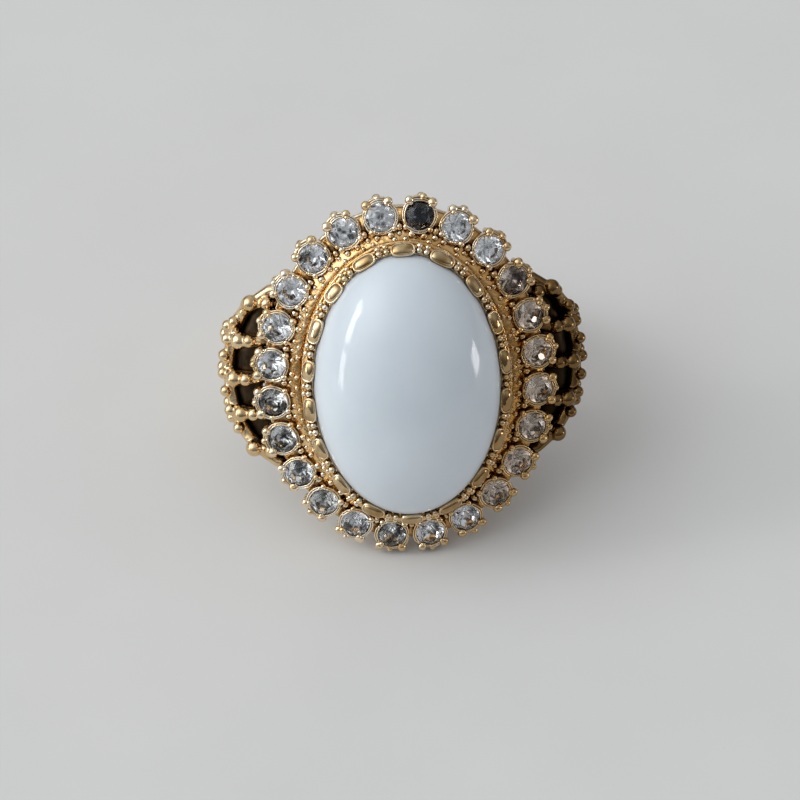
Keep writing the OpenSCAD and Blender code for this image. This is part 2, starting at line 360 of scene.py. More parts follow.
def arc(centre, radius, start, end, steps):
    """Points of an arc in a plane, in degrees."""
    turns = np.radians(np.linspace(start, end, steps))
    return [(centre[0] + radius * math.cos(t), centre[1] + radius * math.sin(t)) for t in turns]


def rounded_box(low, high, radius):
    """A rounded rectangle outline from low to high, counterclockwise."""
    (x0, y0), (x1, y1) = low, high
    r, steps = radius, 4
    return (arc((x1 - r, y0 + r), r, -90, 0, steps) + arc((x1 - r, y1 - r), r, 0, 90, steps)
            + arc((x0 + r, y1 - r), r, 90, 180, steps) + arc((x0 + r, y0 + r), r, 180, 270, steps))


def weld(piece, voxel):
    """Grows the shells of a piece into one skin with soft inner corners, as in a casting."""
    remesh = piece.modifiers.new("weld", "REMESH")
    remesh.mode = "VOXEL"
    remesh.voxel_size = voxel * MM
    remesh.use_smooth_shade = True
    relax = piece.modifiers.new("relax", "SMOOTH")
    relax.factor = 0.5
    relax.iterations = 2


# ---------------------------------------------------------------- nodes

def node_material(name):
    material = bpy.data.materials.new(name)
    material.use_nodes = True
    nodes, links = material.node_tree.nodes, material.node_tree.links
    return material, nodes, links, nodes["Principled BSDF"]


def noise(nodes, links, scale, detail=3.0):
    """Noise over the object's own coordinates; scale is per metre."""
    place = nodes.new("ShaderNodeTexCoord")
    texture = nodes.new("ShaderNodeTexNoise")
    texture.inputs["Scale"].default_value = scale
    texture.inputs["Detail"].default_value = detail
    texture.inputs["Roughness"].default_value = 0.55
    links.new(place.outputs["Object"], texture.inputs["Vector"])
    return texture.outputs["Fac"]


def ramp(nodes, links, source, stops):
    """A colour ramp: stops are (position, (r, g, b))."""
    node = nodes.new("ShaderNodeValToRGB")
    band = node.color_ramp
    while len(band.elements) < len(stops):
        band.elements.new(0.5)
    for element, (place, colour) in zip(band.elements, stops):
        element.position = place
        element.color = (*colour, 1)
    links.new(source, node.inputs["Fac"])
    return node.outputs["Color"]


def rescale(nodes, links, source, given=(0.0, 1.0), wanted=(0.0, 1.0), soft=False):
    """Maps the range given to the range wanted, and holds its ends past them."""
    node = nodes.new("ShaderNodeMapRange")
    if soft:
        node.interpolation_type = "SMOOTHSTEP"
    node.inputs["From Min"].default_value, node.inputs["From Max"].default_value = given
    node.inputs["To Min"].default_value, node.inputs["To Max"].default_value = wanted
    links.new(source, node.inputs["Value"])
    return node.outputs["Result"]


def bump(nodes, links, shader, height, strength, distance):
    node = nodes.new("ShaderNodeBump")
    node.inputs["Strength"].default_value = strength
    node.inputs["Distance"].default_value = distance
    links.new(height, node.inputs["Height"])
    links.new(node.outputs["Normal"], shader.inputs["Normal"])


def mix_colour(nodes, links, factor, a, b):
    """Goes from a to b with the factor. Each colour is a socket or an (r, g, b)."""
    node = nodes.new("ShaderNodeMix")
    node.data_type = "RGBA"
    links.new(factor, node.inputs[0])
    for socket, value in ((node.inputs[6], a), (node.inputs[7], b)):
        if isinstance(value, tuple):
            socket.default_value = (*value, 1)
        else:
            links.new(value, socket)
    return node.outputs[2]


def calculate(nodes, links, operation, source, number):
    node = nodes.new("ShaderNodeMath")
    node.operation = operation
    node.inputs[1].default_value = number
    links.new(source, node.inputs[0])
    return node.outputs[0]


def reach_along(nodes, links, source, way):
    """How far a vector socket reaches in a fixed direction."""
    node = nodes.new("ShaderNodeVectorMath")
    node.operation = "DOT_PRODUCT"
    node.inputs[1].default_value = tuple(way)
    links.new(source, node.inputs[0])
    return node.outputs["Value"]


def crevices(nodes, links, reach, deep, open_face):
    """1 in recesses, where at most a share deep of the view out is free, and 0 from a share open_face up."""
    node = nodes.new("ShaderNodeAmbientOcclusion")
    node.samples = 8
    node.inputs["Distance"].default_value = reach
    return rescale(nodes, links, node.outputs["AO"], given=(open_face, deep))


# ---------------------------------------------------------------- materials

# painted shade: the plate darkens toward the lower right of the face, the side away from the light. Listed
# are the way there in the row frame, where along it that starts and ends, how much of it there is at the end,
# and the shares of the deep tint's red, green and blue that are left there
SHADED_SIDE_WAY = (1.0, 0.0, -0.25)
SHADED_SIDE_RANGE = (-5 * MM, 6 * MM)
SHADED_SIDE_MOST = 0.9
SHADED_SIDE_SHARES = (0.64, 0.55, 0.39)

# the band's gold, and the heights between which the shoulders go from it to their own
BAND_TINTS = {"pale": (0.93, 0.70, 0.38), "deep": (0.86, 0.61, 0.30)}
BAND_FADE_Z = (3.0, 8.0)


def painted_side_shade(nodes, links):
    """How much painted shade the plate takes: none at the upper left of the face, most at the lower right."""
    place = nodes.new("ShaderNodeTexCoord")
    along = reach_along(nodes, links, place.outputs["Object"], SHADED_SIDE_WAY)
    return rescale(nodes, links, along, given=SHADED_SIDE_RANGE, wanted=(0.0, SHADED_SIDE_MOST))


def up_the_face(nodes, links, low, high):
    """0 below the height low, 1 above the height high, both in the ring's millimetres."""
    place = nodes.new("ShaderNodeTexCoord")
    face = RING[:3, 2] / MM
    base = float(RING[:3, 3] @ face)
    along = reach_along(nodes, links, place.outputs["Object"], face)
    return rescale(nodes, links, along, given=(base + low * MM, base + high * MM), soft=True)


def plate_tint(nodes, links, pale, deep):
    """A slow drift between two golds, darkened by painted shade toward the lower right of the face."""
    drift = ramp(nodes, links, noise(nodes, links, scale=900.0), [(0.35, deep), (0.65, pale)])
    shaded_tint = tuple(c * share for c, share in zip(deep, SHADED_SIDE_SHARES))
    return mix_colour(nodes, links, painted_side_shade(nodes, links), drift, shaded_tint)


def gold_plate(name, pale, deep, shade, rough, patina_and_shade, dents=0.45, from_band=False):
    """Polished yellow plate: a slow drift of tint, fine wear in the gloss, and painted shade in recesses
    and toward the lower right of the face; the shade in recesses also stands for antiquing in the hollows.

    With from_band it starts as the band's gold and takes its own tint toward the head.
    """
    material, nodes, links, shader = node_material(name)
    shader.inputs["Metallic"].default_value = 1.0
    tint = plate_tint(nodes, links, pale, deep)
    if from_band:
        band_tint = plate_tint(nodes, links, **BAND_TINTS)
        tint = mix_colour(nodes, links, up_the_face(nodes, links, *BAND_FADE_Z), band_tint, tint)
    # painted shade: the plate darkens where its view out is enclosed, which also stands for the antiquing in
    # its hollows
    recess = crevices(nodes, links, reach=0.8 * MM, deep=0.2, open_face=0.7)
    patina_and_shade_mask = calculate(nodes, links, "MULTIPLY", recess, patina_and_shade)
    links.new(mix_colour(nodes, links, patina_and_shade_mask, tint, shade), shader.inputs["Base Color"])
    wear = noise(nodes, links, scale=5000.0, detail=4.0)
    links.new(rescale(nodes, links, wear, wanted=(rough * 0.6, rough * 1.5)), shader.inputs["Roughness"])
    bump(nodes, links, shader, noise(nodes, links, scale=2600.0), strength=dents, distance=0.035 * MM)
    return material


def milk_glass():
    """Opaque cool white glass with a faint cloud in it and a hard gloss."""
    material, nodes, links, shader = node_material("milk_glass")
    cloud = ramp(nodes, links, noise(nodes, links, scale=160.0, detail=4.0),
                 [(0.3, (0.655, 0.715, 0.765)), (0.7, (0.715, 0.775, 0.82))])
    links.new(cloud, shader.inputs["Base Color"])
    shader.inputs["Subsurface Weight"].default_value = 0.35
    shader.inputs["Subsurface Radius"].default_value = (1.0, 1.0, 1.1)
    shader.inputs["Subsurface Scale"].default_value = 1.2 * MM
    shader.inputs["IOR"].default_value = 1.52
    polish = noise(nodes, links, scale=700.0, detail=5.0)
    links.new(rescale(nodes, links, polish, wanted=(0.05, 0.12)), shader.inputs["Roughness"])
    waves = noise(nodes, links, scale=350.0, detail=2.0)
    bump(nodes, links, shader, waves, strength=0.05, distance=0.02 * MM)
    return material


def gem_glass(name, tint):
    """Clear cut glass with a trace of colour and a lightly worn polish."""
    material, nodes, links, shader = node_material(name)
    body = ramp(nodes, links, noise(nodes, links, scale=500.0), [(0.3, tint), (0.7, (1.0, 1.0, 1.0))])
    links.new(body, shader.inputs["Base Color"])
    polish = noise(nodes, links, scale=3000.0)
    links.new(rescale(nodes, links, polish, wanted=(0.0, 0.03)), shader.inputs["Roughness"])
    shader.inputs["Transmission Weight"].default_value = 1.0
    shader.inputs["IOR"].default_value = 1.58
    return material


def foil(name, bright, dull, worn):
    """The mirror on the back of a stone, dull in patches; a larger worn makes more of them."""
    material, nodes, links, shader = node_material(name)
    shader.inputs["Metallic"].default_value = 1.0
    patches = ramp(nodes, links, noise(nodes, links, scale=1300.0, detail=1.0),
                   [(worn - 0.06, dull), (worn + 0.06, bright)])
    links.new(patches, shader.inputs["Base Color"])
    gloss = noise(nodes, links, scale=4000.0)
    links.new(rescale(nodes, links, gloss, wanted=(0.02, 0.12)), shader.inputs["Roughness"])
    return material


def cement():
    """Cured glue: a dull cream with a slightly lumpy face."""
    material, nodes, links, shader = node_material("cement")
    colour = ramp(nodes, links, noise(nodes, links, scale=800.0),
                  [(0.3, (0.52, 0.46, 0.34)), (0.7, (0.66, 0.61, 0.48))])
    links.new(colour, shader.inputs["Base Color"])
    grain = noise(nodes, links, scale=1500.0)
    links.new(rescale(nodes, links, grain, wanted=(0.45, 0.7)), shader.inputs["Roughness"])
    bump(nodes, links, shader, noise(nodes, links, scale=1200.0), strength=0.5, distance=0.08 * MM)
    return material


def floor_material():
    """A pale matt studio floor with a very faint grain."""
    material, nodes, links, shader = node_material("floor")
    colour = ramp(nodes, links, noise(nodes, links, scale=60.0, detail=5.0),
                  [(0.3, (0.70, 0.69, 0.67)), (0.7, (0.73, 0.72, 0.70))])
    links.new(colour, shader.inputs["Base Color"])
    grain = noise(nodes, links, scale=90.0)
    links.new(rescale(nodes, links, grain, wanted=(0.6, 0.75)), shader.inputs["Roughness"])
    return material


GOLD = gold_plate("gold_plate", pale=(1.0, 0.88, 0.69), deep=(0.80, 0.57, 0.30), shade=(0.15, 0.075, 0.02),
                  rough=0.09, patina_and_shade=1.0, dents=1.3)
BAND_GOLD = gold_plate("band_gold", **BAND_TINTS, shade=(0.30, 0.16, 0.06), rough=0.16, patina_and_shade=0.5)
# a paler copy of the plate's gold for the collet rims: painted highlight
RIM_GOLD_PAINTED_HIGHLIGHT = gold_plate("rim_gold_painted_highlight", pale=(1.0, 0.94, 0.82), deep=(0.92, 0.72, 0.46),
                      shade=(0.15, 0.075, 0.02), rough=0.07, patina_and_shade=1.0, dents=1.2)
# a darker gold for the crown's lobes: painted shade, standing for the dark surroundings they reflect
LOBE_GOLD_PAINTED_SHADE = gold_plate("lobe_gold_painted_shade", pale=(0.78, 0.60, 0.36), deep=(0.40, 0.25, 0.10),
                       shade=(0.04, 0.02, 0.01), rough=0.05, patina_and_shade=0.9, dents=0.3)
LIP_GOLD = gold_plate("lip_gold", pale=(1.0, 0.80, 0.54), deep=(0.92, 0.66, 0.36), shade=(0.46, 0.23, 0.06),
                      rough=0.12, patina_and_shade=0.15, dents=0.5)
# a more orange gold for the well: painted reflection of the gold around it
WELL_GOLD_PAINTED_REFLECTION = gold_plate("well_gold_painted_reflection", pale=(0.98, 0.69, 0.36), deep=(0.80, 0.47, 0.16),
                       shade=(0.38, 0.18, 0.04), rough=0.13, patina_and_shade=0.8, dents=2.0)
SHOULDER_GOLD = gold_plate("shoulder_gold", pale=(0.86, 0.67, 0.43), deep=(0.70, 0.49, 0.25),
                           shade=(0.12, 0.06, 0.02), rough=0.14, patina_and_shade=1.0, dents=0.8, from_band=True)
# a darker copy of the shoulder gold for the right shoulder: painted shade on the side away from the light
RIGHT_SHOULDER_SHADED_GOLD = gold_plate("shoulder_gold_painted_shade", pale=(0.46, 0.34, 0.20), deep=(0.28, 0.18, 0.08),
                        shade=(0.05, 0.025, 0.01), rough=0.12, patina_and_shade=1.0, dents=0.8, from_band=True)
# near-black gold for the walls behind the shoulders' struts: painted shadow
PAINTED_SHADOW_LINING = gold_plate("lining_painted_shadow", pale=(0.065, 0.045, 0.026), deep=(0.022, 0.015, 0.009),
                         shade=(0.008, 0.005, 0.003), rough=0.34, patina_and_shade=0.8)
CLEAR_GLASS = gem_glass("rhinestone", tint=(0.95, 0.97, 0.99))
# warmer, darker glass for the stones on the right: painted shade and painted reflection of the gold
RIGHT_SIDE_SHADED_GLASS = gem_glass("rhinestone_painted_shade", tint=(0.93, 0.90, 0.87))
BRIGHT_FOIL = foil("foil_bright", bright=(0.97, 0.97, 0.97), dull=(0.12, 0.125, 0.13), worn=0.39)
WORN_FOIL = foil("foil_worn", bright=(0.93, 0.93, 0.91), dull=(0.05, 0.05, 0.05), worn=0.47)
# warmer foil for the stones on the right: painted shade and painted reflection of the gold
RIGHT_SIDE_WARM_FOIL = foil("foil_painted_gold_reflection", bright=(0.86, 0.78, 0.70), dull=(0.12, 0.09, 0.07), worn=0.42)
DARK_FOIL = foil("foil_dark", bright=(0.66, 0.67, 0.70), dull=(0.03, 0.03, 0.035), worn=0.56)


# ---------------------------------------------------------------- the band

def band_half(z):
    """Half width of the band at height z."""
    drop = max(TAPER_START_Z - z, 0) / (TAPER_START_Z + BAND_R)
    return BAND_W / 2 - (BAND_W - BAND_BACK_W) / 2 * drop


def shank():
    """A round band: flat with softened edges inside, domed outside, narrow at the back."""
    shape = Shape()
    rows = []
    steps, dome_points, flat_points = 256, 20, 6
    soft = BAND_SOFT
    dome_middle = BAND_R - BAND_DOME_R
    for k in range(steps):
        a = 2 * math.pi * k / steps
        x, z = math.cos(a), math.sin(a)
        half = band_half(BAND_R * z)
        outline = []
        for y in np.linspace(-half + soft / 2, half - soft / 2, dome_points):
            outline.append((dome_middle + math.sqrt(BAND_DOME_R ** 2 - y ** 2), y))
        edge = dome_middle + math.sqrt(BAND_DOME_R ** 2 - half ** 2)
        outline += [(edge - soft, half), (FINGER_R + soft, half), (FINGER_R, half - soft)]
        outline += [(FINGER_R, y) for y in np.linspace(half - 2 * soft, -half + 2 * soft, flat_points)]
        outline += [(FINGER_R, -half + soft), (FINGER_R + soft, -half), (edge - soft, -half)]
        rows.append([(r * x, y, r * z) for r, y in outline])
    shape.grid(rows[::-1], wrap_rows=True)
    return shape.piece("band", [BAND_GOLD])


# ---------------------------------------------------------------- the shoulders

def shoulder_half(z):
    """Half width of a shoulder at height z."""
    return NECK_HALF + FLARE_R - math.sqrt(FLARE_R ** 2 - max(z - NECK_Z, 0) ** 2)


def side_view(run, inset=0.0):
    """Distance from the face axis and height of a shoulder's outside, run mm along it from its widest height.

    A long arc comes up from the band, and a short one turns back in under the halo.
    """
    big = SIDE_R if run < 0 else TURN_R
    a = run / big
    return SHOULDER_REACH - big + (big - inset) * math.cos(a), WIDEST_Z + (big - inset) * math.sin(a)


def shoulder_point(run, inset, y):
    rho, z = side_view(run, inset)
    return (math.sqrt(max(rho ** 2 - y ** 2, 0)), y, z)


def run_at(z):
    """The run at which the outside of a shoulder has height z."""
    big = SIDE_R if z < WIDEST_Z else TURN_R
    return big * math.asin((z - WIDEST_Z) / big)


def run_in(degrees):
    """The run at which the outside of a shoulder has turned in by some degrees past its widest height."""
    return TURN_R * math.radians(degrees)


def half_at(run):
    return shoulder_half(side_view(run)[1])


def strut(shape, place, low_z, high, radius):
    """A wire up the fan from a height to a run; place gives its y for a run."""
    inset = 0.45
    path, up = [], []
    for run in np.linspace(run_at(low_z), high, 26):
        y = place(run)
        path.append(shoulder_point(run, inset, y))
        up.append(np.subtract(shoulder_point(run, 0, y), shoulder_point(run, 1, y)))
    shape.tube(path, radius, up=up, flat=1.15)


def rim_height(y):
    return RIM_Z + RIM_SAG * y * y


def to_side(shape, side):
    """Turns a shape made on the right over to the left."""
    if side < 0:
        half_turn = turn("Z", 180)
        shape.points = [p @ half_turn[:3, :3].T for p in shape.points]


def lining(name, side):
    """A thin wall behind the struts, near-black as painted shadow in the openings between them, with a hole
    at each side of the neck.
    """
    shape = Shape()
    front, back, low_z, side_gap, cell = 0.84, 1.1, 6.4, 0.3, 0.08
    hole_y, hole_run, hole_half_w, hole_half_h = 1.15, run_at(7.9), 0.38, 0.95
    runs = np.linspace(run_at(low_z), run_in(STRUT_TURN - 4), 72)
    for low, high in zip(runs, runs[1:]):
        run = (low + high) / 2
        half = min(half_at(run) - side_gap, FAN_HALF - 0.1)
        edges = np.linspace(-half, half, int(half / cell))
        for a, b in zip(edges, edges[1:]):
            y = abs(a + b) / 2
            if ((y - hole_y) / hole_half_w) ** 2 + ((run - hole_run) / hole_half_h) ** 2 < 1:
                continue
            corners = ((low, a), (high, a), (high, b), (low, b))
            rows = [[shoulder_point(r, inset, e) for r, e in corners] for inset in (back, front)]
            shape.grid(rows, caps=True)
    to_side(shape, side)
    piece = shape.piece(name, [PAINTED_SHADOW_LINING])
    weld(piece, voxel=0.08)
    return piece


def neck(shape):
    """The solid foot of a shoulder beside the band, rounded across."""
    low_z, high_z, side_gap, camber, back_share = 0.8, 7.0, 0.05, 0.42, 0.85
    rows = []
    for run in np.linspace(run_at(low_z), run_at(high_z), 20):
        half = half_at(run) - side_gap
        outline = [shoulder_point(run, camber * (y / half) ** 2, y) for y in np.linspace(-half, half, 12)]
        back = half * back_share
        outline += [shoulder_point(run, SHOULDER_T, y) for y in np.linspace(back, -back, 10)]
        rows.append(outline)
    shape.grid(rows, caps=True)


def fan_wires(shape):
    """A middle strut and two edges all the way up, branches and a bar below the rim, four spokes above it."""
    top = run_in(STRUT_TURN)
    middle_z, edge_z, outer_z, inner_z, branch_z, branch_top_z = 5.5, 3.0, 10.4, 9.5, 6.2, 9.3
    strut(shape, lambda run: 0, middle_z, top, STRUT_R)
    for s in (-1, 1):
        strut(shape, lambda run: s * min(half_at(run) - EDGE_IN, FAN_HALF), edge_z, top, EDGE_R)
        strut(shape, lambda run: s * 2 * STRUT_STEP, outer_z, top, EDGE_R)
        strut(shape, lambda run: s * STRUT_STEP, inner_z, top, STRUT_R)
        strut(shape, lambda run: s * (half_at(run) - EDGE_IN) * 0.5, branch_z, run_at(branch_top_z), BRANCH_R)
    rim_half, rim_r, rim_down = 5.2, 0.45, 0.1
    rim = [shoulder_point(run_at(rim_height(y) - rim_down), rim_r, y)
           for y in np.linspace(-rim_half, rim_half, 41)]
    shape.tube(rim, rim_r)
    bar_half, bar_r, bar_z, bar_in = 2.2, 0.26, 8.1, 0.5
    bar = [shoulder_point(run_at(bar_z), bar_in, y) for y in np.linspace(-bar_half, bar_half, 13)]
    shape.tube(bar, bar_r)


def fan_beads(shape):
    """Rows of beads: along the rim, two on each spoke, down both edges and down the middle."""
    sides, sunk = 18, 0.05
    for k in range(-4, 5):
        y = k * RIM_BEAD_STEP
        spot = shoulder_point(run_at(rim_height(y)), 0.0, vary(y, -0.06, 0.06))
        shape.ball(spot, vary(RIM_BEAD_R, -0.03, 0.02), sides=sides)
    for k in range(-2, 3):
        for degrees, radius in SPOKE_BEADS:
            run = run_in(vary(degrees, -4, 4))
            shape.ball(shoulder_point(run, sunk, vary(k * STRUT_STEP, -0.1, 0.1)), radius, sides=sides)
    for z in EDGE_BEAD_ZS:
        for s in (-1, 1):
            y = s * (shoulder_half(z) - 0.21)
            shape.ball(shoulder_point(run_at(z), sunk, y), EDGE_BEAD_R, sides=sides)
    for z, radius in MIDDLE_BEADS:
        shape.ball(shoulder_point(run_at(z), 0.0, 0), radius, sides=sides)


def shoulder(name, side):
    """An openwork fan: a solid neck, struts up to a beaded rim, and spokes from the rim in under the halo."""
    shape = Shape()
    neck(shape)
    fan_wires(shape)
    fan_beads(shape)
    to_side(shape, side)
    # the right shoulder takes the darker copy of its gold, painted shade
    piece = shape.piece(name, [SHOULDER_GOLD if side < 0 else RIGHT_SHOULDER_SHADED_GOLD])
    weld(piece, voxel=0.07)
    return piece


# ---------------------------------------------------------------- under the head

def gallery():
    """A tapered basket of wires between the band and the halo."""
    shape = Shape()
    low = BAND_R + 0.15
    ring_r, rail_r, post_foot_r, post_head_r = 0.38, 0.5, 0.42, 0.34
    post_turns = (50, 70, 90, 110, 130)
    shape.tube(oval_path(GALLERY, low, 96), ring_r, closed=True)
    rail = [(0, y, low) for y in np.linspace(-GALLERY[1], GALLERY[1], 24)]
    shape.tube(rail, rail_r, flat=0.75, up=(0, 0, 1))
    for s in (-1, 1):
        for u in post_turns:
            foot = on_oval(GALLERY, s * u, low)[:3, 3]
            head = on_oval(grown(HALO, -1), s * u, FRAME_Z)[:3, 3]
            shape.tube(np.linspace(foot, head, 8), np.linspace(post_foot_r, post_head_r, 8))
    return shape.piece("under_gallery_wires", [SHOULDER_GOLD])


# ---------------------------------------------------------------- the halo

def collet_outline():
    """A short tube with a conical seat inside and a fine double rim on top."""
    hole_r, cone_z, wire_r = 0.36, -0.72, 0.055
    tube = [(hole_r, -COLLET_H), (COLLET_R - 0.04, -COLLET_H)]
    tube += [(COLLET_R + 0.03, -0.35), (COLLET_R + 0.05, -0.05)]
    outer_rim = arc((COLLET_R - 0.01, 0.06), wire_r, -20, 180, 6)
    groove = [(COLLET_R - 0.085, 0.02)]
    inner_rim = arc((STONE_R + wire_r, 0.11), wire_r, 10, 190, 6)
    return tube + outer_rim + groove + inner_rim + [(STONE_R + 0.005, 0.0), (hole_r, cone_z)]


def prongs(shape, at):
    """Two outer prongs with lumpy heads, a scalloped wire between them, grains and burrs, and a foot bead."""
    out = COLLET_R + 0.05
    tip_r, knob_r, grain_r, foot_r, wire_r = 0.20, 0.26, 0.25, 0.35, 0.12
    for s in (-1, 1):
        spot = at @ turn("Z", vary(s * PRONG_SPREAD, -3, 3))
        top = vary(0.08, -0.06, 0.04)
        shape.tube([(out, 0, z) for z in np.linspace(-0.95, top, 6)], PRONG_R, at=spot, sides=10)
        head = (vary(out, -0.03, 0.03), 0, top)
        shape.ball(head, vary(PRONG_HEAD_R, -0.04, 0.02), at=spot, sides=16, squash=dice.uniform(0.75, 0.95))
        tip = (STONE_R + 0.04, dice.uniform(-0.08, 0.08), 0.15)
        shape.ball(tip, vary(tip_r, -0.03, 0.03), at=spot, sides=12)
        shape.ball((out + 0.02, 0, -0.42), vary(knob_r, -0.03, 0.02), at=spot, sides=12)
        inner = at @ turn("Z", vary(180 + s * PRONG_SPREAD, -5, 5))
        radius, squash = vary(grain_r, -0.04, 0.02), dice.uniform(0.8, 1.0)
        shape.ball((COLLET_R, 0, 0.08), radius, at=inner, sides=12, squash=squash)
    for _ in range(6):
        burr = at @ turn("Z", dice.uniform(0, 360))
        radius, squash = dice.uniform(0.10, 0.16), dice.uniform(0.7, 1.0)
        shape.ball((STONE_R + 0.1, 0, 0.07), radius, at=burr, sides=10, squash=squash)
    middle = at @ turn("Z", dice.uniform(-6, 6))
    shape.ball((COLLET_R + 0.12, 0, -0.08), vary(grain_r, -0.04, 0.03), at=middle, sides=12)
    shape.ball((COLLET_R + 0.1, 0, -FOOT_DOWN), foot_r, at=at, sides=18)
    scallop = [(*p, -0.2) for p in arc((0, 0), COLLET_R + 0.12, -PRONG_SPREAD, PRONG_SPREAD, 9)]
    shape.tube(scallop, wire_r, at=at, sides=8)


def halo_plate(shape):
    """The oval casting under the collets: a sloping well in from the stones, and a low outer edge."""
    low = FRAME_Z
    edge = rounded_box((0.1, low), (0.46, low + 0.55), 0.14)
    well_rows, edge_rows = [], []
    for u in np.linspace(0, 360, 240, endpoint=False):
        at = on_oval(HALO, u, 0)
        edge_rows.append([moved(at, out, 0, z) for out, z in edge])
        inner, middle = on_oval(CUP_OUTER, u, 0)[:3, 3], at[:3, 3]
        gap = np.linalg.norm(middle - inner)
        way = (middle - inner) / gap
        cup_side = 0.01 - gap
        row = []
        for offset, rise in [(cup_side, 0.0), *WELL_SLOPE, (cup_side, WELL_TOP)]:
            x, y, _ = middle + way * offset
            row.append((x, y, low + rise))
        well_rows.append(row)
    # slot 1 is the more orange gold, a painted reflection of the gold around the well
    shape.grid(well_rows, wrap_rows=True, slot=1)
    shape.grid(edge_rows, wrap_rows=True)


def halo():
    """The cast oval frame: a sloping well, webs between the seats, and a beaded collet for each stone."""
    shape = Shape()
    halo_plate(shape)
    outline = collet_outline()
    for i in range(1, STONES + 1):
        at = on_seat(i)
        # the rims take the paler gold, a painted highlight
        shape.collar(outline, inner_r=STONE_R + 0.02, swell=0.022, at=at, slot=2)
        prongs(shape, at)
    web_box = rounded_box((-0.9, -0.48), (0.3, 0.48), 0.1)
    web_h, web_slope = 1.02, 0.3
    web = [[(x, y, z - slope * x) for x, y in web_box]
           for z, slope in ((FRAME_Z, 0), (FRAME_Z + web_h, web_slope))]
    for i in range(STONES):
        u = i * 360 / STONES
        shape.grid(web, caps=True, at=on_oval(HALO, u, 0), slot=1)
        for inset, along, lift, radius in WELL_GRAINS:
            size = vary(radius, -0.03, 0.03)
            line = (HALO[0] - inset, HALO[1] - inset * WELL_END_SHARE)
            seat = on_oval(line, vary(u + along, -0.6, 0.6), STONE_Z + lift)
            shape.ball((0, 0, 0), size, at=seat, sides=12)
    return shape.piece("halo_casting", [GOLD, WELL_GOLD_PAINTED_REFLECTION, RIM_GOLD_PAINTED_HIGHLIGHT])


# ---------------------------------------------------------------- the cup and its crown

def cup():
    """The oval cup: a thin wall with a rolled rim, and an inner shelf under the cabochon."""
    shape = Shape()
    wall, roll, soft_w, soft_h, shelf_in, skirt = 0.45, 0.1, 0.08, 0.06, 1.7, 0.6
    shelf_low, shelf_high = CAB_BASE_Z - 0.8, CAB_BASE_Z - 0.3
    z0, z1 = FRAME_Z, GIRDLE_Z
    outline = [(0, z0), (0, z1 - roll)] + arc((-roll, z1 - roll), roll, 20, 90, 4)
    outline += [(-wall + soft_w, z1), (-wall, z1 - soft_h), (-wall, shelf_high), (-shelf_in, shelf_high)]
    outline += [(-shelf_in, shelf_low), (-skirt, shelf_low), (-skirt, z0)]
    shape.oval_ring(CUP_OUTER, outline)
    return shape.piece("oval_cup", [GOLD])


def lobe_path(length, width):
    """A rounded-oblong outline in a plane: X across, Y along."""
    steps, power = 28, 0.72
    points = []
    for k in range(steps):
        a = 2 * math.pi * k / steps
        c, s = math.cos(a), math.sin(a)
        points.append((width / 2 * math.copysign(abs(c) ** power, c),
                       length / 2 * math.copysign(abs(s) ** power, s), 0))
    return points


def crown():
    """Domed lobes with thin rims, and pairs of grains between them, on a wire around the cabochon."""
    shape = Shape()
    z = GIRDLE_Z
    steps, up = 192, (0, 0, 1)
    lip_r, seat_r, grain_r, low_grain_r = 0.11, 0.24, 0.25, 0.22
    shape.oval_ring(CUP_OUTER, rounded_box((0.0, z - 0.6), (0.34, z - 0.2), 0.12), slot=2)
    lip = oval_path(grown(CAB, 0.1), z + 0.04, steps)
    shape.tube(lip, lip_r, closed=True, slot=3)
    seat = oval_path(grown(CUP_OUTER, -0.08), z - 0.02, steps)
    shape.tube(seat, seat_r, closed=True, flat=0.5, up=up, slot=2)
    line = grown(CUP_OUTER, -LOBE_LINE_IN)
    for i in range(LOBES):
        u = (i + 0.5) * 360 / LOBES
        at = on_oval(line, u, z + LOBE_RISE)
        at = at @ turn("Y", vary(LOBE_TILT, -5, 5)) @ turn("Z", dice.uniform(-8, 8))
        rim = lobe_path(vary(LOBE_LENGTH, -0.16, 0.12), vary(LOBE_W, -0.05, 0.05))
        shape.tube(rim, LOBE_RIM_R, closed=True, flat=2.2, up=up, at=at)
        dome = [[(x * share, y * share, h) for x, y, _ in rim] for share, h in LOBE_DOME]
        # the lobes' domes take the darker gold, painted shade
        shape.grid(dome, caps=True, at=at, slot=1)
        for s in (-1, 1):
            spot = on_oval(line, u + 180 / LOBES + s * 1.9, z + 0.26)
            shape.ball((0, 0, 0), vary(grain_r, -0.03, 0.02), at=spot, squash=dice.uniform(0.8, 1.0))
            shape.ball((0.3, 0, -0.22), vary(low_grain_r, -0.03, 0.02), at=spot, sides=12)
    return shape.piece("crown_lobes", [GOLD, LOBE_GOLD_PAINTED_SHADE, WELL_GOLD_PAINTED_REFLECTION, LIP_GOLD])


# ---------------------------------------------------------------- the stones

def cabochon():
    """A high smooth dome on an upright edge, with a bevel under it."""
    shape = Shape()
    sides, rings, fullness = 160, 44, 0.97
    base_share, bevel_h, girdle_soft = 0.965, 0.22, 0.02
    outline = [(base_share, CAB_BASE_Z), (1.0, CAB_BASE_Z + bevel_h), (1.0, GIRDLE_Z - girdle_soft)]
    for k in range(1, rings):
        b = math.pi / 2 * k / rings
        outline.append((math.cos(b), GIRDLE_Z + CAB_DOME_H * math.sin(b) ** fullness))
    turns = np.linspace(0, 2 * math.pi, sides, endpoint=False)
    rows = [[(CAB[0] * share * math.cos(a), CAB[1] * share * math.sin(a), z) for a in turns]
            for share, z in outline]
    shape.grid(rows, peak=(0, 0, GIRDLE_Z + CAB_DOME_H))
    return shape.piece("milk_cabochon", [milk_glass()], sharp=50)


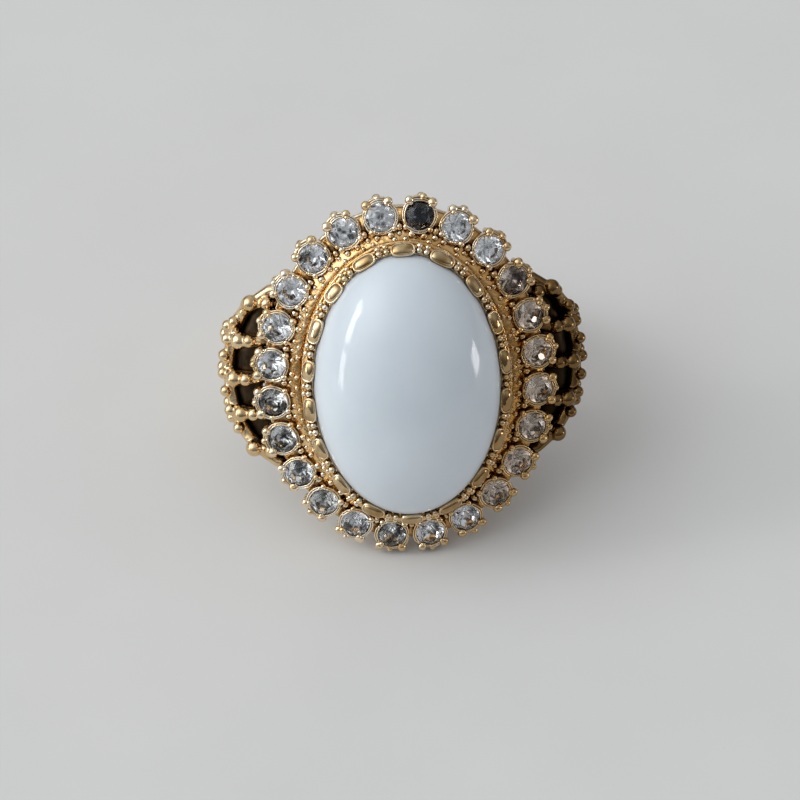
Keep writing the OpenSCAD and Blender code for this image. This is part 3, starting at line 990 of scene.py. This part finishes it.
def gem_facets(depth):
    """A round chaton: table, star and kite facets on the crown, and a pavilion of kites to a point."""
    table_r, table_z, top_z, low_z, deep_z = 0.58, 0.44, 0.07, 0.0, -depth
    slope = (top_z - table_z) / (STONE_R - table_r)
    mid_r = 0.83
    mid_z = table_z + (mid_r * math.cos(math.pi / 8) - table_r) * slope
    rise = -deep_z / STONE_R
    low_r = 0.55
    low_mid_z = deep_z + low_r * math.cos(math.pi / 8) * rise

    def around(r, z, offset, n):
        turns = [2 * math.pi * (k + offset) / n for k in range(n)]
        return [(r * math.cos(a), r * math.sin(a), z) for a in turns]

    points = (around(table_r, table_z, 0, 8) + around(mid_r, mid_z, 0.5, 8) + around(STONE_R, top_z, 0, 16)
              + around(STONE_R, low_z, 0, 16) + around(low_r, low_mid_z, 0.5, 8) + [(0, 0, deep_z)])
    table, mid, top, low, deep, point = 0, 8, 16, 32, 48, 56  # where each ring of points starts
    crown_faces, back_faces = [tuple(range(8))], []
    for k in range(8):
        j, before = (k + 1) % 8, (k - 1) % 8
        here, half, following = 2 * k, 2 * k + 1, (2 * k + 2) % 16
        crown_faces.append((table + k, mid + k, table + j))
        crown_faces.append((table + k, mid + before, top + here, mid + k))
        crown_faces.append((mid + k, top + here, top + half))
        crown_faces.append((mid + k, top + half, top + following))
        back_faces.append((point, deep + k, low + here, deep + before))
        back_faces.append((deep + k, low + half, low + here))
        back_faces.append((deep + k, low + following, low + half))
    for k in range(16):
        j = (k + 1) % 16
        crown_faces.append((top + k, low + k, low + j, top + j))
    return points, crown_faces, back_faces


def rhinestone(i):
    """Stone i, turned and tipped a little in its seat, with its own state of foil; on the right side, warmer
    glass and foil as painted shade and painted reflection of the gold.
    """
    right_from, clear_below, worn_above = 0.55, 0.12, 0.6
    points, crown_faces, back_faces = gem_facets(depth=0.78 + 0.02 * (i % 9))
    shape = Shape()
    at = on_seat(i)
    for axis, low, high in (("Z", 0, 45), ("X", -2.0, 2.0), ("Y", -2.0, 2.0)):
        at = at @ turn(axis, dice.uniform(low, high))
    shape.add(np.array(points) * STONE_FIT, crown_faces, at)
    shape.faces += back_faces
    shape.slots += [1] * len(back_faces)
    draw = dice.random()
    on_the_shaded_right = math.cos(math.radians(seat_turn(i))) > right_from
    glass, mirror = CLEAR_GLASS, WORN_FOIL if draw > worn_above else BRIGHT_FOIL
    # the stones on the right take the warmer glass and foil, painted shade and painted reflection of the gold
    if on_the_shaded_right and draw > clear_below:
        glass, mirror = RIGHT_SIDE_SHADED_GLASS, RIGHT_SIDE_WARM_FOIL
    if i == DARK_STONE:
        mirror = DARK_FOIL
    return shape.piece(f"chaton_{i:02d}", [glass, mirror], smooth=False)


# ---------------------------------------------------------------- putting it together

PIECES = {
    "shank": shank,
    "shoulder_left": lambda: shoulder("openwork_left", -1),
    "shoulder_right": lambda: shoulder("openwork_right", 1),
    "under_gallery": gallery,
    "halo_frame": halo,
    "bezel_cup": cup,
    "crown_bezel": crown,
    "cabochon": cabochon,
}

for node, make in PIECES.items():
    made = make()
    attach(made, "root")
    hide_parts(node)

# dark walls behind the shoulders' struts: painted shadow in their openings
for name, side in (("painted_shadow_wall_left", -1), ("painted_shadow_wall_right", 1)):
    wall = lining(name, side)
    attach(wall, "root")

for i in range(1, STONES + 1):
    stone = rhinestone(i)
    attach(stone, "root")
    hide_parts(f"rhinestone_{i:02d}")

bed = frame["nodes"]["cement_bed"]
bed.data.materials.clear()
bed.data.materials.append(cement())


# ---------------------------------------------------------------- floor and light, in metres

HEART = moved(RING, 0, 0, STONE_Z)
FLOOR_REACH = 1.2
LIGHT_DISTANCE = 0.5

# the surroundings' colour by the height of the direction: 0 at the horizon and below, 1 straight up
SKY = [(0.0, (0.10, 0.095, 0.09)), (0.5, (0.26, 0.27, 0.285)), (1.0, (0.42, 0.44, 0.46))]
GLOWS = [
    {"azimuth": -80, "elevation": 44, "sharpness": 7, "strength": 2.35, "colour": (0.95, 0.98, 1.0)},
    {"azimuth": 70, "elevation": 30, "sharpness": 12, "strength": 0.28, "colour": (1.0, 0.97, 0.98)},
    {"azimuth": 180, "elevation": 35, "sharpness": 6, "strength": 0.30, "colour": (1.0, 0.98, 0.95)},
]


def floor():
    r = FLOOR_REACH
    mesh = bpy.data.meshes.new("floor")
    mesh.from_pydata([(-r, -r, 0), (r, -r, 0), (r, r, 0), (-r, r, 0)], [], [(0, 1, 2, 3)])
    mesh.materials.append(floor_material())
    plane = bpy.data.objects.new("floor", mesh)
    bpy.context.scene.collection.objects.link(plane)


def aim(thing, target):
    """Turns an object so that its -Z points at the target."""
    way = Vector(target) - thing.location
    thing.rotation_euler = way.to_track_quat("-Z", "Y").to_euler()


def direction(azimuth, elevation):
    """The way to something around the ring. Azimuth 0 is in front, 90 to the right."""
    a, e = math.radians(azimuth), math.radians(elevation)
    return np.array([math.sin(a) * math.cos(e), -math.cos(a) * math.cos(e), math.sin(e)])


def softbox(name, azimuth, elevation, size, power, colour, roll=0):
    """A rectangular light that looks at the ring, rolled about its own axis."""
    data = bpy.data.lights.new(name, "AREA")
    data.shape = "RECTANGLE"
    data.size, data.size_y = size
    data.energy = power
    data.color = colour
    lamp = bpy.data.objects.new(name, data)
    lamp.location = np.array([0, 0, HEART[2]]) + LIGHT_DISTANCE * direction(azimuth, elevation)
    bpy.context.scene.collection.objects.link(lamp)
    aim(lamp, HEART)
    lamp.rotation_euler.rotate_axis("Z", math.radians(roll))


def glow(nodes, links, way, azimuth, elevation, sharpness, strength, colour):
    """A soft lobe of light in the surroundings; a higher sharpness makes it narrower."""
    value = reach_along(nodes, links, way, direction(azimuth, elevation))
    for operation, number in (("MAXIMUM", 0.0), ("POWER", sharpness), ("MULTIPLY", strength)):
        value = calculate(nodes, links, operation, value, number)
    tinted = nodes.new("ShaderNodeVectorMath")
    tinted.operation = "SCALE"
    tinted.inputs[0].default_value = colour
    links.new(value, tinted.inputs["Scale"])
    return tinted.outputs[0]


def studio_world():
    """Dim surroundings with soft light from the upper left, and a little from the right and from behind."""
    world = bpy.data.worlds.new("studio")
    world.use_nodes = True
    nodes, links = world.node_tree.nodes, world.node_tree.links
    way = nodes.new("ShaderNodeTexCoord").outputs["Generated"]
    parts = nodes.new("ShaderNodeSeparateXYZ")
    links.new(way, parts.inputs[0])
    total = ramp(nodes, links, parts.outputs["Z"], SKY)
    for lobe in GLOWS:
        summed = nodes.new("ShaderNodeVectorMath")
        summed.operation = "ADD"
        links.new(total, summed.inputs[0])
        links.new(glow(nodes, links, way, **lobe), summed.inputs[1])
        total = summed.outputs[0]
    links.new(total, nodes["Background"].inputs["Color"])
    nodes["Background"].inputs["Strength"].default_value = 1.0
    bpy.context.scene.world = world


floor()
studio_world()
DAYLIGHT = (1.0, 0.99, 0.98)
softbox("left_window", azimuth=-83.5, elevation=26, size=(0.085, 0.165), power=0.26, colour=DAYLIGHT, roll=32)
softbox("left_door", azimuth=-73, elevation=5, size=(0.065, 0.16), power=0.15, colour=DAYLIGHT, roll=21)
softbox("left_skylight", azimuth=-91, elevation=36, size=(0.13, 0.07), power=0.15, colour=(1.0, 1.0, 1.0))
softbox("right_window", azimuth=79, elevation=1, size=(0.12, 0.14), power=0.32, colour=(1.0, 0.97, 0.99))
bpy.context.scene.view_settings.view_transform = "Standard"


# ---------------------------------------------------------------- camera

VIEW_TILT = 17.0  # degrees up from straight onto the face, along the finger
VIEW_SIDE = -3.0  # degrees to the right of it
SPAN = 55.5 * MM  # width of the picture at the stones
LENS = 160.0
SENSOR = 36.0
LENS_SHIFT = (-0.0070, -0.0290)


def camera():
    """A long lens that looks at the head from a little above its face and to its left."""
    data = bpy.data.cameras.new("camera")
    data.lens = LENS
    data.sensor_width = SENSOR
    data.clip_start = 0.01
    data.clip_end = 20
    data.shift_x, data.shift_y = LENS_SHIFT
    eye = bpy.data.objects.new("camera", data)
    bpy.context.scene.collection.objects.link(eye)
    side, tilt = math.radians(VIEW_SIDE), math.radians(VIEW_TILT)
    way = np.array([math.sin(side) * math.cos(tilt), math.sin(tilt), math.cos(side) * math.cos(tilt)])
    eye.location = HEART + RING[:3, :3] @ way / MM * (SPAN * LENS / SENSOR)
    aim(eye, HEART)
    bpy.context.scene.camera = eye


camera()
